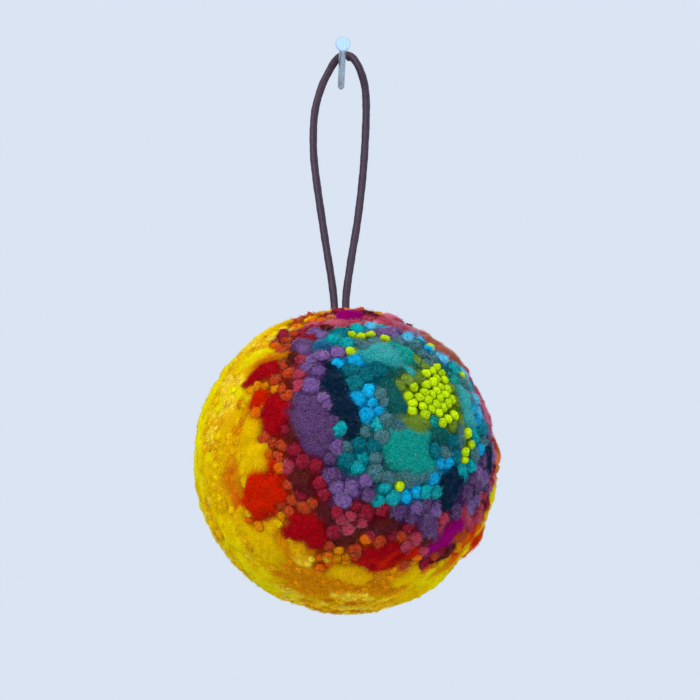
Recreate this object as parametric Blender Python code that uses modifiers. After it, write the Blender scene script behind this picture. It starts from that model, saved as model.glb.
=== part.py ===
"""A trimmed yarn pom pom, hung by a leather cord loop on a nail.

Units are metres. The origin is where the nail's centreline enters the wall plane y = 0. +Z is up,
+Y runs into the wall, and the ornament hangs in front of the wall, on its -Y side.

The pom pom is a core with yarn locks that stand apart but for their roots. Its top leans back towards
the nail, because the loop pulls in a straight line through the ball's centre. Its back rests against the
wall plane, where the locks are shorter and level. Both ends of the loop run into a socket in its top.
"""

import math
import random

import bmesh
import bpy
from mathutils import Matrix, Vector

SEED = 11
GAP = 0.0003  # between pieces that touch

# Nail
NAIL_SHANK_RADIUS = 0.0009
NAIL_HEAD_RADIUS = 0.0019
NAIL_HEAD_THICKNESS = 0.0007
NAIL_HEAD_EDGE = 0.00015  # chamfer round the struck face
NAIL_NECK = 0.0006  # taper under the head
NAIL_LENGTH_OUT = 0.0274  # from the wall plane to the struck face, along the nail
NAIL_LENGTH_IN = 0.0126  # driven into the wall, point included
NAIL_POINT = 0.0036
NAIL_RISE = math.radians(11.0)
NAIL_SWING = math.radians(1.0)  # to the right of straight out
NAIL_STEPS = 24

# Pom pom
BALL_RADIUS = 0.0375
BALL_SQUASH = 0.0010  # how much its back is pressed in by the wall
BALL_X = 0.0011
BALL_Z = -0.0997
CORE_SHARE = 0.86  # core radius over ball radius: the locks' roots
LOCK_GRID = 7  # locks along each side of the six faces of the ball: 6 * 7 * 7 = 294 locks
LOCK_GAP = 0.00050  # between two locks at their roots
LOCK_WANDER = 0.13  # how far a root corner strays, over the grid's pitch
LOCK_UNEVEN = 0.00035  # how much longer or shorter a lock may be
SHOULDER_DROP = 0.0016  # where a lock's sides end, below its tip
BROW_DROP = 0.00045  # the ring between shoulder and tip
BROW_SHARE = 0.62  # that ring's width over the shoulder's

# Leather cord loop
CORD_DIAMETER = 0.0020
NAIL_TO_LOOP = 0.0104  # from the wall plane to where the loop crosses the nail, along the nail
CORD_STEP = 0.0021  # spacing of the spline's points
CORD_STEPS_A_SPAN = 24  # samples on the smooth curve between two route points
SOCKET_PAST_BALL = 0.003
SOCKET_STEPS = 8  # sides of each half-round end of the socket

# The loop's route in millimetres from where it crosses over the nail: sideways (+ right), down towards
# the ball's centre, and back (+ towards the wall). Its ends run straight into the ball, side by side.
LOOP_ROUTE = (
    # side, down, back
    (-2.35, 77.0, 0.0),
    (-2.35, 69.5, 0.0),
    (-2.9, 62.0, 0.1),
    (-4.9, 48.0, 0.6),
    (-7.0, 32.0, 1.5),
    (-7.6, 23.5, 2.1),
    (-7.2, 14.5, 3.0),
    (-5.5, 7.6, 3.4),
    (-3.6, 3.5, 3.0),
    (-1.8, 0.7, 2.0),
    (-0.1, -0.2, 0.4),
    (1.6, 0.4, -1.4),
    (3.1, 1.9, -2.4),
    (4.7, 5.3, -3.0),
    (5.9, 10.5, -2.9),
    (6.0, 18.5, -2.3),
    (5.2, 31.7, -1.3),
    (3.7, 44.5, -0.8),
    (1.9, 55.2, -0.3),
    (0.6, 64.0, 0.0),
    (0.4, 69.5, 0.0),
    (0.4, 77.0, 0.0),
)


def clear_scene():
    for obj in list(bpy.data.objects):
        bpy.data.objects.remove(obj)


def new_collection(name):
    collection = bpy.data.collections.new(name)
    bpy.context.scene.collection.children.link(collection)
    return collection


def new_material(name, colour, roughness, metallic=0.0):
    material = bpy.data.materials.new(name)
    material.use_nodes = True
    shader = material.node_tree.nodes["Principled BSDF"]
    shader.inputs["Base Color"].default_value = (*colour, 1.0)
    shader.inputs["Roughness"].default_value = roughness
    shader.inputs["Metallic"].default_value = metallic
    return material


def add_object(name, data, collection, material=None):
    obj = bpy.data.objects.new(name, data)
    collection.objects.link(obj)
    if material:
        data.materials.append(material)
    return obj


def nail_direction():
    """From the wall to the head."""
    return Vector(
        (math.sin(NAIL_SWING), -math.cos(NAIL_RISE), math.sin(NAIL_RISE))
    ).normalized()


def ball_centre():
    return Vector((BALL_X, BALL_SQUASH - BALL_RADIUS, BALL_Z))


def nail_crossing():
    """Where the loop's centreline passes over the nail."""
    along = nail_direction()
    upright = (Vector((0, 0, 1)) - along * along.z).normalized()
    return along * NAIL_TO_LOOP + upright * (NAIL_SHANK_RADIUS + GAP + CORD_DIAMETER / 2)


def loop_axes():
    """(sideways, up, back) for the loop: up runs from the ball's centre to the nail crossing."""
    up = (nail_crossing() - ball_centre()).normalized()
    side = (Vector((1, 0, 0)) - up * up.x).normalized()
    return side, up, up.cross(side)


def make_nail(collection, material):
    """A profile from head to point, turned about the nail's own axis."""
    head = NAIL_LENGTH_OUT
    profile = (
        (0.0, head),
        (NAIL_HEAD_RADIUS - NAIL_HEAD_EDGE, head),
        (NAIL_HEAD_RADIUS, head - NAIL_HEAD_EDGE),
        (NAIL_HEAD_RADIUS, head - NAIL_HEAD_THICKNESS),
        (NAIL_SHANK_RADIUS, head - NAIL_HEAD_THICKNESS - NAIL_NECK),
        (NAIL_SHANK_RADIUS, NAIL_POINT - NAIL_LENGTH_IN),
        (0.0, -NAIL_LENGTH_IN),
    )
    mesh = bpy.data.meshes.new("nail")
    edges = [(i, i + 1) for i in range(len(profile) - 1)]
    mesh.from_pydata([(r, 0.0, z) for r, z in profile], edges, [])
    nail = add_object("nail", mesh, collection, material)
    turn = nail.modifiers.new("turn", "SCREW")
    turn.angle = math.tau
    turn.steps = turn.render_steps = NAIL_STEPS
    turn.use_merge_vertices = True
    turn.merge_threshold = 0.00001
    turn.use_smooth_shade = True
    nail.rotation_mode = "QUATERNION"
    nail.rotation_quaternion = nail_direction().to_track_quat("Z", "Y")
    return nail


def smooth_through(points, steps):
    """Catmull-Rom samples through the points, in order."""
    ends = [2 * points[0] - points[1], *points, 2 * points[-1] - points[-2]]
    found = []
    for before, start, stop, after in zip(ends, ends[1:], ends[2:], ends[3:]):
        for step in range(steps):
            t = step / steps
            found.append(
                0.5
                * (
                    2 * start
                    + (stop - before) * t
                    + (2 * before - 5 * start + 4 * stop - after) * t**2
                    + (3 * start - before - 3 * stop + after) * t**3
                )
            )
    return [*found, points[-1]]


def evenly_spaced(points, step):
    """Points about step apart along a fine polyline, ends kept."""
    lengths = [0.0]
    for a, b in zip(points, points[1:]):
        lengths.append(lengths[-1] + (b - a).length)
    count = max(2, round(lengths[-1] / step))
    found, at = [], 0
    for i in range(count + 1):
        target = lengths[-1] * i / count
        while at < len(points) - 2 and lengths[at + 1] < target:
            at += 1
        share = (target - lengths[at]) / (lengths[at + 1] - lengths[at])
        found.append(points[at].lerp(points[at + 1], share))
    return found


def loop_points():
    """The centreline of the cord, from its left end in the ball, over the nail, to its right end."""
    side, up, back = loop_axes()
    top = nail_crossing()
    route = [
        top + (side * across - up * down + back * depth) / 1000
        for across, down, depth in LOOP_ROUTE
    ]
    return evenly_spaced(smooth_through(route, CORD_STEPS_A_SPAN), CORD_STEP)


def make_loop(collection, material):
    curve = bpy.data.curves.new("hanging_loop", "CURVE")
    curve.dimensions = "3D"
    curve.bevel_depth = CORD_DIAMETER / 2
    curve.bevel_resolution = 2
    curve.use_fill_caps = True
    points = loop_points()
    spline = curve.splines.new("POLY")
    spline.points.add(len(points) - 1)
    for target, point in zip(spline.points, points):
        target.co = (*point, 1.0)
    return add_object("hanging_loop", curve, collection, material)


def ball_point(face, across, along):
    """A point of the unit ball on the grid of one of its six faces. Equal steps there are equal angles."""
    x = math.tan(across * math.pi / 4)
    y = math.tan(along * math.pi / 4)
    axes = (
        (x, y, 1), (x, -y, -1), (1, x, y), (-1, -x, y), (-x, 1, y), (x, -1, y),
    )
    return Vector(axes[face]).normalized()


def lock_roots(rng):
    """A ball of 294 uneven four-sided faces: the foot of each lock."""
    mesh = bmesh.new()
    for face in range(6):
        grid = [
            [
                mesh.verts.new(ball_point(face, 2 * i / LOCK_GRID - 1, 2 * j / LOCK_GRID - 1))
                for i in range(LOCK_GRID + 1)
            ]
            for j in range(LOCK_GRID + 1)
        ]
        for low, high in zip(grid, grid[1:]):
            for a, b, c, d in zip(low, low[1:], high[1:], high):
                mesh.faces.new((a, b, c, d))
    bmesh.ops.remove_doubles(mesh, verts=mesh.verts, dist=1e-4)
    pitch = math.pi / 2 / LOCK_GRID
    for vert in mesh.verts:
        stray = Vector((rng.uniform(-1, 1) for _ in range(3)))
        vert.co = (vert.co + stray * pitch * LOCK_WANDER).normalized() * BALL_RADIUS * CORE_SHARE
    return mesh


def raise_locks(mesh, rng):
    """Insets every root by half the gap, draws it out to its shoulder and closes it with a round tip."""
    roots = list(mesh.faces)
    bmesh.ops.inset_individual(mesh, faces=roots, thickness=LOCK_GAP / 2)
    for root in roots:
        tip = BALL_RADIUS + rng.uniform(-LOCK_UNEVEN, LOCK_UNEVEN)
        rings = ((tip - SHOULDER_DROP, 1.0), (tip - BROW_DROP, BROW_SHARE))
        face = root
        for radius, share in rings:
            face = bmesh.ops.extrude_discrete_faces(mesh, faces=[face])["faces"][0]
            middle = face.calc_center_median()
            direction = middle.normalized()
            for vert in face.verts:
                spread = vert.co * (radius / vert.co.length)
                centre = direction * radius
                vert.co = centre + (spread - centre) * share
                vert.co *= radius / vert.co.length
        poked = bmesh.ops.poke(mesh, faces=[face])
        summit = poked["verts"][0]
        summit.co = summit.co.normalized() * tip


def level_back(mesh, to_world):
    """Shortens the locks that would reach past the wall plane, so that they meet it level."""
    to_local = to_world.inverted()
    for vert in mesh.verts:
        place = to_world @ vert.co
        if place.y > 0:
            place.y = 0.0
            vert.co = to_local @ place


def socket_frame():
    """The socket's floor, between the two cord ends: X runs from one to the other and Z out of the ball."""
    points = loop_points()
    left, right = points[0], points[-1]
    _, up, _ = loop_axes()
    across = (right - left).normalized()
    turn = Matrix((across, up.cross(across), up)).transposed().to_4x4()
    return Matrix.Translation((left + right) / 2 - up * GAP) @ turn, (right - left).length


def make_ball(collection, material):
    rng = random.Random(SEED)
    mesh = lock_roots(rng)
    raise_locks(mesh, rng)
    bmesh.ops.recalc_face_normals(mesh, faces=mesh.faces)
    floor, _ = socket_frame()
    pole = (floor.translation - ball_centre()).normalized()
    across = floor.col[0].to_3d()
    across = (across - pole * across.dot(pole)).normalized()
    turn = Matrix((across, pole.cross(across), pole)).transposed().to_4x4()
    to_world = Matrix.Translation(ball_centre()) @ turn
    level_back(mesh, to_world)
    data = bpy.data.meshes.new("pompom")
    mesh.to_mesh(data)
    mesh.free()
    ball = add_object("pompom", data, collection, material)
    ball.matrix_world = to_world
    return ball


def make_socket_cutter(collection):
    """A slot with round ends, one cord at each, and the gap all round."""
    floor, spread = socket_frame()
    radius = CORD_DIAMETER / 2 + GAP
    ring = []
    for middle, start in ((spread / 2, -math.pi / 2), (-spread / 2, math.pi / 2)):
        for step in range(SOCKET_STEPS + 1):
            turn = start + math.pi * step / SOCKET_STEPS
            ring.append((middle + radius * math.cos(turn), radius * math.sin(turn)))
    reach = (floor.translation - ball_centre()).length
    height = BALL_RADIUS + SOCKET_PAST_BALL - reach
    count = len(ring)
    low = [(x, y, 0.0) for x, y in ring]
    high = [(x, y, height) for x, y in ring]
    sides = [(i, (i + 1) % count, (i + 1) % count + count, i + count) for i in range(count)]
    ends = [tuple(reversed(range(count))), tuple(range(count, 2 * count))]
    mesh = bpy.data.meshes.new("socket_cutter")
    mesh.from_pydata(low + high, [], sides + ends)
    cutter = add_object("socket_cutter", mesh, collection)
    cutter.matrix_world = floor
    cutter.hide_render = True
    cutter.display_type = "WIRE"
    return cutter


def cut_socket(ball, cutter):
    cut = ball.modifiers.new("socket", "BOOLEAN")
    cut.operation = "DIFFERENCE"
    cut.solver = "EXACT"
    cut.object = cutter


def main():
    clear_scene()
    parts = new_collection("yarn_pompom")
    cutters = new_collection("cutters")
    yarn = new_material("yarn", (0.60, 0.33, 0.02), 0.95)
    leather = new_material("leather", (0.07, 0.045, 0.06), 0.7)
    steel = new_material("steel", (0.62, 0.65, 0.68), 0.3, 1.0)
    make_nail(parts, steel)
    make_loop(parts, leather)
    cut_socket(make_ball(parts, yarn), make_socket_cutter(cutters))


main()
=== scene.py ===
import math
from typing import NamedTuple

import bpy
import numpy as np
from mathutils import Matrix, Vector


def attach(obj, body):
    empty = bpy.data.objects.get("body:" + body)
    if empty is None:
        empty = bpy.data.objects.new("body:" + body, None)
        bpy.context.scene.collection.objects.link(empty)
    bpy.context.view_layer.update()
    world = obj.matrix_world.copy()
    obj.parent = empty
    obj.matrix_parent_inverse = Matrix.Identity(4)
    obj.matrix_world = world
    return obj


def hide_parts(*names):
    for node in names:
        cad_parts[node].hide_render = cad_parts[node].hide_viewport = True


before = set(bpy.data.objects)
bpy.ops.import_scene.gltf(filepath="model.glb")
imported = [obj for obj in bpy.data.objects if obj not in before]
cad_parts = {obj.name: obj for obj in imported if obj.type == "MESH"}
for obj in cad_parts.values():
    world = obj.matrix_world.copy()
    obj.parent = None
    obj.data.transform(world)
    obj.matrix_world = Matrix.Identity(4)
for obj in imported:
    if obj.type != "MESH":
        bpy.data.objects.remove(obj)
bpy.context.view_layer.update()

# The looks of a trimmed yarn pom pom on a leather cord loop and a nail. Yarn ends, felt and fibres replace
# the ball's plain solid, a cord replaces the loop's, and the nail keeps its solid and takes a material.
# Everything is worked out in millimetres in the row frame and stored in metres.
MM = 0.001
BALL = np.array((1.1, -36.5, -99.7))  # centre
RADIUS = 37.5
CORD_D = 2.0
SEED = 20
TINT = "tint"  # each mesh's colours
MAP = "OFBake"  # each mesh's flat map, for baking and for the strands of the yarn ends


def table(text):
    """The rows of a table: words, and numbers as floats. What follows # is a comment."""
    rows = [line.split("#")[0].split() for line in text.splitlines()]
    return [[float(word) if word[0] in "-0123456789" else word for word in row] for row in rows if row]


def add_object(name, data):
    obj = bpy.data.objects.new(name, data)
    bpy.context.scene.collection.objects.link(obj)
    return obj


# ---------------- camera

# The photo's view: level and square on to the wall, with the ball just left of the middle and well below it.
CAMERA_AT = (0.00224, -0.650, -0.07205)  # metres
LENS, SENSOR, CLIP_START = 127.13, 36.0, 0.05  # mm, mm, metres


def make_camera():
    data = bpy.data.cameras.new("camera")
    data.sensor_width, data.lens, data.clip_start = SENSOR, LENS, CLIP_START
    camera = add_object("camera", data)
    camera.location, camera.rotation_euler = CAMERA_AT, (math.pi / 2, 0.0, 0.0)
    bpy.context.scene.camera = camera


# ---------------- colours

# Each yarn's colour in daylight (sRGB, 0 to 255); how hazy its loose fibres make it and how lively they
# are, which is how much they differ in tone, both from 0 to 1; and the radius of a cut end in mm.
YARN = table("""
# name, red, green, blue, haze, liveliness, radius
lemon 206 188 2 0.03 0.30 1.2
yellow 200 158 1 0.02 0.30 1.25
golden 202 148 2 0.04 0.38 1.3
straw 214 176 26 0.15 0.36 0.86
amber 188 113 2 0.03 0.40 1.25
tangerine 196 84 3 0.04 0.20 1.25
vermilion 174 20 1 0.01 0.5 1.6
red 138 3 10 0.02 0.6 1.5
rust 158 47 15 0.09 0.50 1.6
copper 138 62 46 0.14 0.45 1.5
brown 70 17 12 0.06 0.60 1.5
maroon 66 15 20 0.05 0.60 1.5
rose 150 40 58 0.10 0.50 1.5
pink 176 74 94 0.14 0.42 1.35
crimson 124 16 34 0.06 0.55 1.55
magenta 122 1 80 0.01 0.25 1.4
purple 72 44 88 0.13 0.80 1.85
lavender 98 66 122 0.15 0.66 1.95
navy 1 20 40 0.08 0.75 1.5
blue 16 78 116 0.10 0.80 1.6
cyan 1 146 190 0.08 0.52 1.7
sky 60 158 192 0.22 0.60 1.65
teal 0 92 104 0.08 0.62 1.95
aqua 2 136 142 0.08 0.56 1.95
slate 46 94 100 0.20 0.75 1.75
jade 4 126 114 0.10 0.62 1.6
mint 30 138 138 0.14 0.60 1.6
fir 2 69 67 0.10 0.85 1.6
olive 90 118 26 0.10 0.55 1.75
lime 168 200 4 0.02 0.34 1.12
""")
NAMES = [row[0] for row in YARN]


def linear(rgb):
    c = np.asarray(rgb, float) / 255
    return np.where(c <= 0.04045, c / 12.92, ((c + 0.055) / 1.055) ** 2.4)


PALETTE = linear([row[1:4] for row in YARN])
HAZE, LIVELY, END_RADIUS = np.array([row[4:] for row in YARN]).T
# The smooth yarns of the outer field: their felt is flatter and their fibres lie down.
CALM = [NAMES.index(name) for name in ("lemon", "yellow", "golden", "straw", "amber")]
LIE_DOWN = 0.6  # how far from their own lean to flat
DEEPENING = 0.6  # how much more the weaker parts of a colour darken in shade


def shaded(tint, share):
    """A colour in shade: light that has passed between fibres is darker and deeper in hue."""
    pure = tint / tint.max(-1, keepdims=True)
    return tint * share ** (1 + DEEPENING * (1 - pure))


def fibre_tint(yarn, pale):
    """A yarn's colour with this share of its haze, a paler and greyer tone, mixed in."""
    mix = (HAZE[yarn] * pale)[:, None]
    return PALETTE[yarn] * (1 - mix) + mix * (0.30 + 0.70 * PALETTE[yarn] ** 0.5)


def density(yarn):
    """How thickly a yarn's loose fibres stand, about 1."""
    return 0.62 + 0.85 * LIVELY[yarn]


# ---------------- directions


def unit(v):
    return v / np.linalg.norm(v, axis=-1, keepdims=True)


def direction(az, el):
    """Degrees round from the front (+ right) and up."""
    az, el = math.radians(az), math.radians(el)
    return np.array((math.sin(az) * math.cos(el), -math.cos(az) * math.cos(el), math.sin(el)))


def tangents(dirs):
    """(east, north) at each direction."""
    flat = np.stack([-dirs[:, 1], dirs[:, 0], np.zeros(len(dirs))], 1)
    size = np.linalg.norm(flat, axis=1, keepdims=True)
    east = np.where(size > 1e-6, flat / np.maximum(size, 1e-9), (1.0, 0.0, 0.0))
    return east, np.cross(dirs, east)


def angles(dirs, to):
    """The angles between directions, in radians."""
    return np.arccos(np.clip(dirs @ to.T, -1, 1))


def turned(x, y, turn):
    """A place in a plane, turned by this many degrees."""
    c, s = math.cos(math.radians(turn)), math.sin(math.radians(turn))
    return x * c - y * s, x * s + y * c


def leaning(way, out):
    """(side, across): the part of this way that is square to out, and the direction square to both."""
    side = unit(way - (way * out).sum(1, keepdims=True) * out)
    return side, np.cross(out, side)


def random_directions(rng, count):
    return unit(rng.normal(size=(count, 3)))


def grid(values):
    """(x, y) of each point of a square grid, row by row."""
    return [g.ravel() for g in np.meshgrid(values, values)]


def lattice(middle, pitch, reach, turn):
    """Directions on a triangular lattice round this one, out to `reach` mm."""
    count = math.ceil(reach / pitch) + 2
    i, j = grid(np.arange(-count, count + 1))
    x, y = (i + j / 2) * pitch, j * pitch * math.sqrt(0.75)
    right, up = turned(x, y, turn)
    east, north = tangents(middle[None])
    dirs = middle * RADIUS + right[:, None] * east + up[:, None] * north
    return unit(dirs[np.hypot(x, y) < reach])


class Waves:
    """A smooth random field on the ball, about -1 to 1, with features `size` mm across."""

    COUNT = 24  # waves, each its own way
    FINER = (0.6, 1.5)  # how much finer each may be than that, as a share

    def __init__(self, rng, size):
        turn = random_directions(rng, self.COUNT)
        self.k = turn * (math.tau * RADIUS / (2 * size)) * rng.uniform(*self.FINER, (self.COUNT, 1))
        self.phase = rng.uniform(0, math.tau, self.COUNT)
        self.gain = 1.6 / math.sqrt(self.COUNT)

    def __call__(self, dirs):
        return np.sin(dirs @ self.k.T + self.phase).sum(1) * self.gain


# ---------------- where each yarn shows

# Rings of yarn about the ball's bright eye, from the eye outwards. A row gives where a ring ends, as a
# share of the way to the yellow, and its yarns: one that is named twice is twice as common.
EYE_AZ, EYE_EL = 39.0, 27.0
RINGS = table("""
0.15 olive
0.36 slate fir jade slate teal
0.57 slate teal aqua slate teal cyan
0.75 lavender purple purple lavender
0.90 rose maroon crimson brown crimson rose
1.00 rust crimson brown rust crimson rust
1.06 amber amber tangerine amber
9.00 golden golden yellow yellow golden yellow yellow lemon straw
""")
EYE_REACH = 63.0  # degrees from the eye to where the yellow starts
EYE_LEAN = 10.0  # degrees more towards the lean, and less away from it
LEAN_TURN = 205.0  # the way it leans: degrees up from the right, as seen from in front
FIELD_RING = 7  # from this ring outwards the yarn ends are small grains, with felt between them

# Patches laid over the rings, where an earlier one hides a later one. A row gives the place, as degrees
# round from the front (+ right) and up; half the length and half the width, in mm; how many degrees up
# from level the length runs; the kind; and the yarns. Felt is one smooth mound, ends and grain are single
# yarn ends, and lime is thin hard yarn.
EYE = table("""
44 28 8.2 3.4 75 lime lime
36 25 5.0 4.2 25 lime lime
14 58 5.0 1.05 -2 lime lime
1 47 0.8 0.8 0 lime lime
52 6 3.6 1.3 62 lime lime
22 -6 0.8 0.8 0 lime lime
60 52 0.9 0.8 -20 lime lime
70 35 0.9 0.8 -60 lime lime
29 31 2.6 4.6 20 ends olive
51 28 2.4 6.4 0 ends olive
43 43 2.2 2.6 0 ends olive
45 16 2.6 3.0 0 ends olive
29 17 5.0 2.3 0 felt olive
""")
GREENS = table("""
19 46 6.2 4.4 -8 felt mint
31 47 5.2 3.8 -20 felt jade
32 38 1.7 2.6 0 felt mint
26 7 6.7 6.2 0 felt jade
58 22 3.4 7.4 -6 felt mint
25 37 4.4 2.4 0 felt fir
21 26 2.5 7.0 8 felt fir
38 44 3.4 3.8 0 felt fir
38 12 6.0 2.8 4 felt fir
54 34 1.7 5.2 0 felt fir
27 -3 5.4 2.8 4 felt slate
49 14 2.4 4.6 0 felt slate
9 26 5.0 3.0 -66 ends cyan
5 38 3.6 2.8 -60 ends aqua teal
2 43 4.2 1.8 -24 ends cyan
15 33 2.4 4.4 12 ends slate
17 24 1.9 3.6 10 ends slate
7 50 3.4 4.0 0 ends slate
14 12 2.6 3.2 0 ends slate teal
12 1 3.2 1.8 -40 ends cyan slate
38 1 3.4 1.9 8 ends cyan
32 -3 2.2 3.2 0 ends cyan aqua
16 65 5.0 1.9 0 ends sky aqua
30 54 2.6 1.9 0 ends sky cyan
50 54 5.6 2.6 -36 ends teal cyan sky
62 43 1.9 6.2 24 ends sky aqua
70 38 1.5 5.0 24 ends aqua teal
73 23 1.5 5.4 6 ends sky aqua
62 8 2.2 4.8 0 ends cyan sky aqua
54 -1 4.0 2.3 -8 ends aqua
28 -9 3.2 1.8 0 ends cyan
34 -10 2.3 3.2 20 ends aqua
16 -10 3.8 2.5 30 ends aqua
6 3 3.4 6.0 0 ends teal aqua
0 57 4.4 4.4 20 ends aqua teal
""")
VALLEYS = table("""
-1 25 11.6 3.3 -71 felt navy
43 -9 4.1 6.4 8 felt navy
70 3 2.5 6.6 0 felt navy
-12 52 3.3 2.7 0 felt blue
""")
PURPLES = table("""
-13 17 9.2 4.2 -67 felt purple
-24 51 4.0 3.1 0 felt lavender purple
36 -22 3.5 4.3 10 felt purple
34 60 6.0 2.9 -24 felt purple lavender
-12 61 6.0 2.1 0 ends lavender
-14 40 5.4 3.1 -66 ends lavender
-5 15 7.0 2.0 -80 ends lavender purple
-2 -6 4.6 5.6 0 ends lavender purple
9 -7 3.6 2.6 0 ends purple lavender
27 -15 3.2 2.6 0 ends lavender
39 -15 2.6 2.4 0 ends lavender
60 -11 3.4 5.2 12 ends lavender purple
46 -28 7.0 3.4 38 felt magenta
0 77 4.6 3.4 0 felt magenta
80 14 1.6 3.7 0 felt magenta
77 26 1.5 3.5 10 felt pink
46 67 7.6 2.6 -24 felt pink rose
-14 69 7.0 1.8 0 felt rose pink
57 -20 3.3 3.7 10 felt rose
30 -22 1.8 4.2 8 ends rose pink
2 -17 5.2 3.0 -10 ends crimson rose
13 -16 2.4 1.8 0 ends crimson rose
""")
REDS = table("""
-40 37 6.0 3.0 32 felt red
-44 43 6.6 1.7 32 felt tangerine amber
-39 25 2.7 2.9 -60 felt vermilion
-25 28 2.4 1.9 0 ends rust
-28 21 6.6 3.9 74 felt red
-24 -16 1.9 1.8 0 ends rust
-46 -9 5.6 1.7 78 felt tangerine amber
-31 -10 7.0 6.4 40 felt vermilion
-32 -17 3.8 2.8 0 felt red
-16 -24 5.7 4.3 -22 felt red
15 -35 6.4 4.1 4 felt red red vermilion red
31 -34 2.8 1.6 36 felt vermilion
67 -30 5.6 2.8 56 felt vermilion tangerine
""")
RUSTS = table("""
-38 49 2.2 2.1 0 ends rust
-42 60 6.0 2.4 36 ends rust crimson rust
-46 70 9.0 2.6 30 ends rust tangerine
-27 37 2.2 1.6 30 ends rust
-36 30 3.4 1.5 -40 ends amber
-31 34 2.0 1.7 0 ends rust
-19 20 2.0 1.8 0 ends rust
-22 38 6.6 2.0 -72 ends rose
-37 20 1.6 1.5 0 ends tangerine
-26 8 3.2 2.0 -50 ends crimson rust
-26 2 3.6 1.7 -60 ends amber tangerine
-16 4 5.2 1.8 -36 ends crimson
-9 -4 2.0 3.4 -20 ends crimson
-18 -10 3.2 1.7 -20 ends crimson rust
-20 13 4.0 1.9 80 felt brown
-23 33 2.2 2.2 0 felt brown
-30 42 3.4 1.4 -60 felt brown
-15 -6 4.2 4.4 0 felt maroon brown
-7 -16 4.6 2.5 -66 felt brown maroon
-9 -28 6.2 1.9 -70 ends rust tangerine
-2 -28 3.6 2.4 10 felt brown
14 -22 5.4 2.0 0 felt brown maroon
14 -28 6.6 1.6 2 ends rust tangerine crimson
24 -26 2.2 2.1 0 ends crimson
4 -33 2.3 2.6 0 ends rust tangerine
55 -34 4.6 2.4 44 felt brown
57 -26 3.2 1.4 60 ends rust
63 -41 6.4 1.9 46 felt tangerine amber
81 50 9.0 7.4 90 felt copper
76 36 3.4 7.0 12 ends teal sky aqua slate
83 1 1.6 6.0 0 felt tangerine pink
93 22 6.4 5.0 90 felt rose pink
92 2 6.4 4.8 90 felt rust tangerine
100 72 6.4 4.4 0 felt pink rose
-110 76 8.0 4.4 0 ends rust tangerine
""")
FIELD = table("""
86 -14 4.6 6.4 14 felt lemon
87 -31 6.0 7.0 90 felt tangerine vermilion tangerine
36 -37 4.4 1.8 6 ends amber golden tangerine
22 -42 4.6 2.2 10 grain amber golden
-33 3 5.2 4.9 0 felt yellow
-37 16 6.6 3.0 70 felt yellow
-46 -14 4.5 2.7 -68 felt yellow
-40 -20 4.4 1.3 -30 ends amber tangerine
-27 -30 4.4 1.3 -72 felt amber
-38 -30 6.4 4.5 -60 felt yellow
-56 -28 6.8 3.7 -62 felt lemon yellow
-56 -42 8.0 5.0 -38 felt lemon yellow
-21 -33 3.4 2.0 -50 felt golden
-22 -42 5.0 2.8 -30 grain amber
-29 -40 5.0 2.6 -50 felt amber golden
-13 -38 3.0 2.4 -70 ends amber tangerine
3 -44 6.2 3.3 -14 felt golden golden yellow
35 -46 4.6 3.2 66 felt yellow
57 -46 6.6 3.3 24 felt yellow lemon
-53 45 6.4 2.6 34 felt lemon
-88 9 20.0 11.0 90 felt lemon lemon yellow
-64 -4 6.4 3.0 84 felt lemon yellow
-60 -51 7.0 2.4 -40 felt lemon
-90 -34 9.0 7.0 90 grain lemon yellow straw
-90 -60 9.0 7.0 90 felt lemon yellow
90 -60 9.0 7.0 90 felt lemon yellow
90 -36 6.0 6.0 90 grain yellow golden
66 -53 7.0 5.0 40 felt lemon yellow
-46 -5 6.0 4.0 84 felt amber
-46 12 3.4 2.0 70 grain golden amber
-57 4 6.0 3.4 80 grain yellow golden yellow
-15 -51 11.0 5.2 -4 grain amber
24 -52 7.0 4.2 0 grain amber
-42 -54 5.4 2.6 -40 grain straw golden
-4 -68 15.0 4.4 0 grain golden amber golden golden straw
0 -84 12.0 6.0 0 grain golden straw amber golden
-57 -15 6.4 4.2 -74 grain golden amber golden yellow
-72 -28 10.0 3.8 76 grain golden yellow straw yellow
-66 54 12.0 3.4 40 grain straw lemon golden straw
-59 27 7.4 4.6 74 grain straw yellow straw straw lemon
-88 26 7.0 3.6 40 felt golden
-86 50 8.0 3.6 84 felt lemon straw
104 -24 8.0 4.2 60 felt yellow
122 12 6.4 4.6 20 grain amber golden
146 44 9.0 4.2 -30 felt yellow
158 -34 8.2 5.2 30 felt lemon yellow
-160 24 6.6 4.8 60 felt golden
-128 -8 9.0 5.0 -40 felt yellow
-118 46 7.0 3.6 10 grain amber golden
-104 -46 8.4 4.4 16 felt lemon yellow
128 -58 8.0 4.6 0 grain amber golden
""")
PATCHES = EYE + GREENS + VALLEYS + PURPLES + REDS + RUSTS + FIELD
KINDS = ("grain", "ends", "lime", "felt")
GRAIN, ENDS, LIME, FELT = range(4)

LUMP = 0.14  # mm
# Where the trimming left the ball fuller or flatter: degrees round and up, reach in mm, height in mm.
SWELLS = table("""
86 0 5.0 0.3
86 20 5.0 -0.9
86 57 6.0 -0.5
0 84 7.0 0.5
-86 62 5.5 0.6
-86 30 9.0 -0.4
-86 -2 9.0 -0.6
-80 -70 5.0 -0.6
40 -78 9.0 0.4
86 -32 5.0 0.3
""")


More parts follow.
